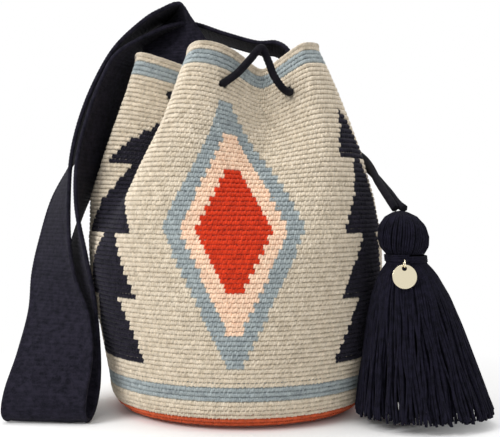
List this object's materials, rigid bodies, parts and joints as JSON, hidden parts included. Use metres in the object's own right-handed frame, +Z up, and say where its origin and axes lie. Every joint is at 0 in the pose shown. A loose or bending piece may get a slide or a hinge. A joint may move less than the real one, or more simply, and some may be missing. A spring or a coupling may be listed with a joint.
{
  "type": "crocheted drawstring shoulder bag",
  "caption": "Crocheted drawstring bucket bag with a woven shoulder strap, a yarn tassel and a plain round metal charm.",
  "frame": {"origin": "centre of the underside of the round base", "axes": "+Z up through the mouth, -Y out of the front with the large rhombus, +X towards the tassel"},
  "size_m": [0.3261, 0.2132, 0.2932],
  "materials": {
    "crochet_cotton": "crocheted cotton yarn, patterned",
    "navy_cotton": "woven, braided or plied cotton yarn",
    "gold_plate": "polished gold plate"
  },
  "bodies": {
    "bag": {"bag_body": "crochet_cotton", "shoulder_strap": "navy_cotton", "strap_seam_left": "navy_cotton", "strap_seam_right": "navy_cotton", "drawstring": "navy_cotton", "tassel": "navy_cotton", "tassel_binding": "navy_cotton", "charm_thread": "navy_cotton"},
    "ring": {"charm_ring": "gold_plate"},
    "disc": {"charm_disc": "gold_plate"}
  },
  "joints": [
    {"name": "ring_swing", "type": "hinge", "parent": "bag", "child": "ring", "pos_m": [0.1057, -0.09175, 0.1092], "axis": [-1, 0, 0], "range_deg": [0, 60]},
    {"name": "disc_swing", "type": "hinge", "parent": "ring", "child": "disc", "pos_m": [0.1057, -0.09175, 0.10515], "axis": [-1, 0, 0], "range_deg": [0, 30]}
  ]
}
